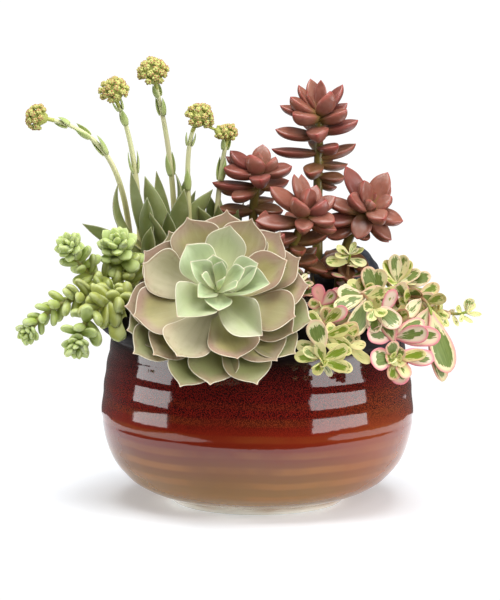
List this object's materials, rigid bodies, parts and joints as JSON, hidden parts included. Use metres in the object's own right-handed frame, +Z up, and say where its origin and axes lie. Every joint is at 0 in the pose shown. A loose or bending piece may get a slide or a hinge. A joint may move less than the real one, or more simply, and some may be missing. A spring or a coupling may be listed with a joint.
{
  "type": "potted succulent arrangement",
  "caption": "Mixed succulents, a large pale rosette, flowering crassula, red sedum and trailing stems, planted with black river stones in a round glazed stoneware bowl.",
  "frame": {"origin": "centre of the bowl's flat foot, on the surface it stands on", "axes": "+Z up, -Y to the front, where the large rosette leans over the rim, +X to the viewer's right"},
  "size_m": [0.3443, 0.2727, 0.3247],
  "materials": {
    "glazed_bowl": "glossy reactive glaze, near black at the rim, red in the middle and amber brown below",
    "soil": "dark crumbly potting mix",
    "river_stone": "black, polished",
    "echeveria": "waxy pale green to dusty pink leaves with cream edges",
    "crassula_leaf": "matt grey-green with silvery edges",
    "crassula_stalk": "pale yellow-green, satin",
    "crassula_bud": "yellow-green buds with red tips",
    "red_sedum": "satin brownish red leaves with brighter red edges, olive stems",
    "donkey_tail": "light green with a powdery bloom",
    "stonecrop": "green leaves with cream margins and pink edges, reddish stems"
  },
  "bodies": {
    "root": {"bowl": "glazed_bowl", "potting_soil": "soil", "river_stone_1": "river_stone", "river_stone_2": "river_stone", "river_stone_3": "river_stone", "river_stone_4": "river_stone", "river_stone_5": "river_stone", "river_stone_6": "river_stone", "echeveria_rosette": "echeveria", "crassula_tuft_1": "crassula_leaf", "crassula_tuft_2": "crassula_leaf", "crassula_tuft_3": "crassula_leaf", "crassula_tuft_4": "crassula_leaf", "crassula_stalk_1": "crassula_stalk", "crassula_stalk_2": "crassula_stalk", "crassula_stalk_3": "crassula_stalk", "crassula_stalk_4": "crassula_stalk", "crassula_stalk_5": "crassula_stalk", "crassula_buds_1": "crassula_bud", "crassula_buds_2": "crassula_bud", "crassula_buds_3": "crassula_bud", "crassula_buds_4": "crassula_bud", "crassula_buds_5": "crassula_bud", "red_sedum_shoot_1": "red_sedum", "red_sedum_shoot_2": "red_sedum", "red_sedum_shoot_3": "red_sedum", "red_sedum_shoot_4": "red_sedum", "red_sedum_shoot_5": "red_sedum", "donkey_tail_shoot_1": "donkey_tail", "donkey_tail_shoot_2": "donkey_tail", "donkey_tail_shoot_3": "donkey_tail", "donkey_tail_shoot_4": "donkey_tail", "stonecrop_shoot_1": "stonecrop", "stonecrop_shoot_2": "stonecrop", "stonecrop_shoot_3": "stonecrop", "stonecrop_shoot_4": "stonecrop", "stonecrop_shoot_5": "stonecrop", "stonecrop_shoot_6": "stonecrop", "stonecrop_shoot_7": "stonecrop", "stonecrop_shoot_8": "stonecrop", "stonecrop_shoot_9": "stonecrop"}
  },
  "joints": []
}
